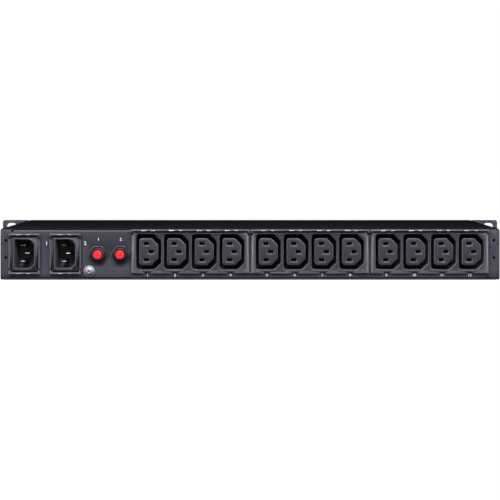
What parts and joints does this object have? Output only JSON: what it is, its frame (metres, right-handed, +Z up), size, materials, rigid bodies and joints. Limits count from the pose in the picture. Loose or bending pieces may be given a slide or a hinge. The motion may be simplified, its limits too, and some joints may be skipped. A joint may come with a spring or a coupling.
{
  "type": "rack static transfer switch",
  "caption": "Rack static transfer switch, one rack unit high, with two power inlets, reset breakers and three blocks of switched outlets.",
  "frame": {"origin": "centre of the four rack slots, on the ears' face that meets the rack's rails", "axes": "+X across the rack, to the right of someone facing the outlets; +Y towards the side with the ears and controls; +Z up"},
  "size_m": [0.4826, 0.117, 0.0444],
  "materials": {
    "case_paint": "fine textured powder coat, satin",
    "cover_paint": "fine textured powder coat, satin",
    "housing_plastic": "moulded, fine spark texture",
    "black_plastic": "moulded",
    "red_plastic": "moulded, satin",
    "grey_plastic": "moulded",
    "brass": "stamped",
    "nickel": "nickel plated",
    "zinc_steel": "zinc plated",
    "black_screw": "black oxide",
    "board_green": "solder mask",
    "heat_sink_aluminium": "extruded",
    "winding_tape": "wound tape and laminations",
    "display_dark": "module",
    "window_smoke": "smoked, polished",
    "lamp_clear": "light guide",
    "lead_brown": "insulated wire",
    "lead_green": "insulated wire with crimped rings"
  },
  "bodies": {
    "case": {"base_pan": "case_paint", "top_cover": "cover_paint", "outlet_panel": "case_paint", "front_panel": "case_paint", "left_rack_ear": "case_paint", "right_rack_ear": "case_paint", "ear_screws": "black_screw", "cover_screws": "black_screw", "panel_screws": "black_screw", "clinch_nuts": "zinc_steel", "outlet_block_1": "housing_plastic", "outlet_block_2": "housing_plastic", "outlet_block_3": "housing_plastic", "outlet_contacts_1": "brass", "outlet_contacts_2": "brass", "outlet_contacts_3": "brass", "outlet_back_plate_1": "black_plastic", "outlet_back_plate_2": "black_plastic", "outlet_back_plate_3": "black_plastic", "inlet_a_housing": "housing_plastic", "inlet_b_housing": "housing_plastic", "inlet_a_pins": "nickel", "inlet_b_pins": "nickel", "breaker_a_body": "black_plastic", "breaker_b_body": "black_plastic", "breaker_a_nut": "black_plastic", "breaker_b_nut": "black_plastic", "breaker_terminals": "nickel", "earth_screw": "zinc_steel", "earth_washer": "zinc_steel", "earth_nut": "zinc_steel", "power_board": "board_green", "board_pillars": "zinc_steel", "board_screws": "zinc_steel", "heat_sink_a": "heat_sink_aluminium", "heat_sink_b": "heat_sink_aluminium", "thyristors_a": "black_plastic", "thyristors_b": "black_plastic", "transfer_relays": "black_plastic", "supply_transformers": "winding_tape", "filter_capacitors": "black_plastic", "current_sensors": "black_plastic", "control_board": "board_green", "control_board_pillars": "zinc_steel", "display_module": "display_dark", "display_window": "window_smoke", "source_lamps": "lamp_clear", "button_switches": "black_plastic", "network_jack": "black_plastic", "serial_jack": "black_plastic", "network_card": "board_green", "card_pillars": "zinc_steel", "terminal_strip": "board_green", "power_leads": "lead_brown", "earth_leads": "lead_green"},
    "breaker_a_plunger": {"breaker_a_button": "red_plastic"},
    "breaker_b_plunger": {"breaker_b_button": "red_plastic"},
    "select_cap": {"select_button": "grey_plastic"},
    "scroll_cap": {"scroll_button": "grey_plastic"},
    "mute_cap": {"mute_button": "grey_plastic"}
  },
  "joints": [
    {"name": "breaker_a_trip", "type": "slide", "parent": "case", "child": "breaker_a_plunger", "axis": [0, -1, 0], "range_m": [0, 0.0035]},
    {"name": "breaker_b_trip", "type": "slide", "parent": "case", "child": "breaker_b_plunger", "axis": [0, -1, 0], "range_m": [0, 0.0035]},
    {"name": "select_press", "type": "slide", "parent": "case", "child": "select_cap", "axis": [0, -1, 0], "range_m": [0, 0.0006], "stiffness_N_per_m": 20, "springref_m": -0.001},
    {"name": "scroll_press", "type": "slide", "parent": "case", "child": "scroll_cap", "axis": [0, -1, 0], "range_m": [0, 0.0006], "stiffness_N_per_m": 20, "springref_m": -0.001},
    {"name": "mute_press", "type": "slide", "parent": "case", "child": "mute_cap", "axis": [0, -1, 0], "range_m": [0, 0.0006], "stiffness_N_per_m": 20, "springref_m": -0.001}
  ]
}
